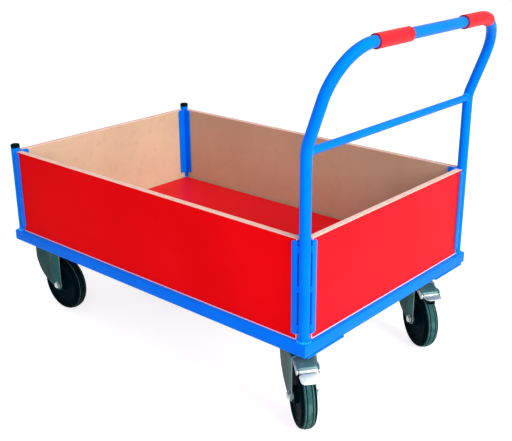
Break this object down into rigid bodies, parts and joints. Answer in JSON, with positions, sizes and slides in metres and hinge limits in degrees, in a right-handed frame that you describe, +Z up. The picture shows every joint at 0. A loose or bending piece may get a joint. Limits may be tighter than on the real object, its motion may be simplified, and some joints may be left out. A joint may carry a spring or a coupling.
{
  "type": "platform cart",
  "caption": "Flat platform cart with a bent tube push handle, lift-out board sides held in corner guides, fixed casters at one end and braked swivel casters at the other.",
  "frame": {"origin": "on the floor, below the middle of the overall length and width", "axes": "+Z up; +X along the cart towards the push handle; +Y across the cart, away from the near long side"},
  "size_m": [1.1327, 0.685, 0.8955],
  "materials": {
    "blue_powder_coat": "smooth glossy powder coat",
    "red_laminated_board": "red laminate face, raw fibreboard back and edges",
    "red_grip_vinyl": "soft satin vinyl",
    "black_plastic": "moulded satin",
    "black_tyre": "matt solid rubber",
    "black_rubber": "matt",
    "zinc_plate": "grey-green zinc plate",
    "bright_zinc": "bright zinc plate"
  },
  "bodies": {
    "chassis": {"axle_bolt_fixed_far": "bright_zinc", "axle_bolt_fixed_near": "bright_zinc", "axle_nut_fixed_far": "bright_zinc", "axle_nut_fixed_near": "bright_zinc", "caster_mount_far_handle": "blue_powder_coat", "caster_mount_far_plain": "blue_powder_coat", "caster_mount_near_handle": "blue_powder_coat", "caster_mount_near_plain": "blue_powder_coat", "corner_post_far": "blue_powder_coat", "corner_post_near": "blue_powder_coat", "cross_member_handle": "blue_powder_coat", "cross_member_plain": "blue_powder_coat", "deck_board": "red_laminated_board", "end_rail_handle": "blue_powder_coat", "end_rail_plain": "blue_powder_coat", "fixed_fork_far": "zinc_plate", "fixed_fork_near": "zinc_plate", "grip_far": "red_grip_vinyl", "grip_near": "red_grip_vinyl", "guide_angle_far_handle": "blue_powder_coat", "guide_angle_far_plain": "blue_powder_coat", "guide_angle_near_handle": "blue_powder_coat", "guide_angle_near_plain": "blue_powder_coat", "handle_crossbar": "blue_powder_coat", "handle_hoop": "blue_powder_coat", "post_cap_far": "black_plastic", "post_cap_near": "black_plastic", "side_rail_far": "blue_powder_coat", "side_rail_near": "blue_powder_coat", "swivel_plate_far": "zinc_plate", "swivel_plate_near": "zinc_plate", "swivel_race_far": "bright_zinc", "swivel_race_near": "bright_zinc"},
    "swivel_near": {"swivel_fork_near": "zinc_plate", "axle_bolt_swivel_near": "bright_zinc", "axle_nut_swivel_near": "bright_zinc"},
    "swivel_wheel_near": {"wheel_rim_swivel_near": "black_plastic", "tyre_swivel_near": "black_tyre", "wheel_bearing_swivel_near": "bright_zinc"},
    "brake_near": {"brake_pedal_near": "bright_zinc", "brake_shoe_near": "black_rubber"},
    "fixed_wheel_near": {"wheel_rim_fixed_near": "black_plastic", "tyre_fixed_near": "black_tyre", "wheel_bearing_fixed_near": "bright_zinc"},
    "swivel_far": {"swivel_fork_far": "zinc_plate", "axle_bolt_swivel_far": "bright_zinc", "axle_nut_swivel_far": "bright_zinc"},
    "swivel_wheel_far": {"wheel_rim_swivel_far": "black_plastic", "tyre_swivel_far": "black_tyre", "wheel_bearing_swivel_far": "bright_zinc"},
    "brake_far": {"brake_pedal_far": "bright_zinc", "brake_shoe_far": "black_rubber"},
    "fixed_wheel_far": {"wheel_rim_fixed_far": "black_plastic", "tyre_fixed_far": "black_tyre", "wheel_bearing_fixed_far": "bright_zinc"},
    "board_near": {"side_board_near": "red_laminated_board"},
    "board_far": {"side_board_far": "red_laminated_board"},
    "board_plain": {"side_board_plain": "red_laminated_board"},
    "board_handle": {"side_board_handle": "red_laminated_board"}
  },
  "joints": [
    {"name": "caster_swivel_near", "type": "hinge", "parent": "chassis", "child": "swivel_near", "pos_m": [0.40363, -0.2505, 0.2154], "axis": [0, 0, 1], "continuous": true},
    {"name": "swivel_wheel_spin_near", "type": "hinge", "parent": "swivel_near", "child": "swivel_wheel_near", "pos_m": [0.43515, -0.27513, 0.08], "axis": [0.6157, 0.788, 0], "continuous": true},
    {"name": "brake_press_near", "type": "hinge", "parent": "swivel_near", "child": "brake_near", "pos_m": [0.47455, -0.30591, 0.168], "axis": [0.6157, 0.788, 0], "range_deg": [-42, 0]},
    {"name": "fixed_wheel_spin_near", "type": "hinge", "parent": "chassis", "child": "fixed_wheel_near", "pos_m": [-0.47437, -0.2505, 0.08], "axis": [0, 1, 0], "continuous": true},
    {"name": "caster_swivel_far", "type": "hinge", "parent": "chassis", "child": "swivel_far", "pos_m": [0.40363, 0.2505, 0.2154], "axis": [0, 0, 1], "continuous": true},
    {"name": "swivel_wheel_spin_far", "type": "hinge", "parent": "swivel_far", "child": "swivel_wheel_far", "pos_m": [0.43717, 0.22871, 0.08], "axis": [0.5446, 0.8387, 0], "continuous": true},
    {"name": "brake_press_far", "type": "hinge", "parent": "swivel_far", "child": "brake_far", "pos_m": [0.47911, 0.20148, 0.168], "axis": [0.5446, 0.8387, 0], "range_deg": [0, 42]},
    {"name": "fixed_wheel_spin_far", "type": "hinge", "parent": "chassis", "child": "fixed_wheel_far", "pos_m": [-0.47437, 0.2505, 0.08], "axis": [0, 1, 0], "continuous": true},
    {"name": "board_lift_near", "type": "slide", "parent": "chassis", "child": "board_near", "axis": [0, 0, 1], "range_m": [0, 0.24]},
    {"name": "board_lift_far", "type": "slide", "parent": "chassis", "child": "board_far", "axis": [0, 0, 1], "range_m": [0, 0.24]},
    {"name": "board_lift_plain", "type": "slide", "parent": "chassis", "child": "board_plain", "axis": [0, 0, 1], "range_m": [0, 0.24]},
    {"name": "board_lift_handle", "type": "slide", "parent": "chassis", "child": "board_handle", "axis": [0, 0, 1], "range_m": [0, 0.17]}
  ]
}
